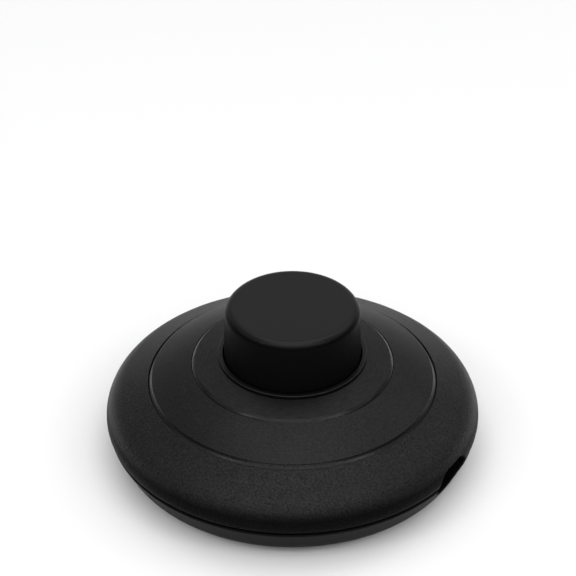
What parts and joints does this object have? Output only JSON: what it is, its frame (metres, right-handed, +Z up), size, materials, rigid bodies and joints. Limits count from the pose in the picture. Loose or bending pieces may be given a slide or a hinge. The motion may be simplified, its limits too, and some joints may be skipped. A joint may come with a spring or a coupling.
{
  "type": "lamp foot switch",
  "caption": "Round in-line foot switch for a lamp cord: grooved domed cover on a flat base, tall central push button, cord entries at opposite sides.",
  "frame": {"origin": "on the floor under the rubber feet, below the middle of the button", "axes": "+Z up along the button's travel axis, +X along the cord towards the outgoing side"},
  "size_m": [0.0624, 0.063, 0.0292],
  "materials": {
    "cover_black": "moulded black plastic with a fine spark texture",
    "base_black": "moulded black plastic with a fine spark texture",
    "button_black": "smooth matte black plastic",
    "nylon_natural": "natural moulded nylon",
    "contact_brass": "stamped brass",
    "plated_steel": "zinc-plated steel",
    "spring_steel": "drawn spring wire",
    "clamp_grey": "moulded plastic",
    "foot_rubber": "soft rubber"
  },
  "bodies": {
    "housing": {"top_cover": "cover_black", "base_plate": "base_black", "contact_strip_in": "contact_brass", "contact_strip_out": "contact_brass", "neutral_link": "contact_brass", "terminal_screws": "plated_steel", "terminal_washers": "plated_steel", "clamp_screws": "plated_steel", "housing_screws": "plated_steel", "return_spring": "spring_steel", "spring_washer": "plated_steel", "cord_clamp_left": "clamp_grey", "cord_clamp_right": "clamp_grey", "rubber_foot_1": "foot_rubber", "rubber_foot_2": "foot_rubber", "rubber_foot_3": "foot_rubber", "rubber_foot_4": "foot_rubber"},
    "button": {"push_button": "button_black"},
    "rotor": {"ratchet_rotor": "nylon_natural", "contact_cross": "contact_brass"}
  },
  "joints": [
    {"name": "button_press", "type": "slide", "parent": "housing", "child": "button", "axis": [0, 0, -1], "range_m": [0, 0.0035], "stiffness_N_per_m": 1200, "springref_m": -0.004, "deforming": ["return_spring"]},
    {"name": "rotor_turn", "type": "hinge", "parent": "housing", "child": "rotor", "pos_m": [0, 0, 0.0067], "axis": [0, 0, 1], "range_deg": [0, 30]}
  ],
  "couplings": [
    {"joint": "rotor_turn", "follows": "button_press", "rad_per_m": 149.5}
  ]
}
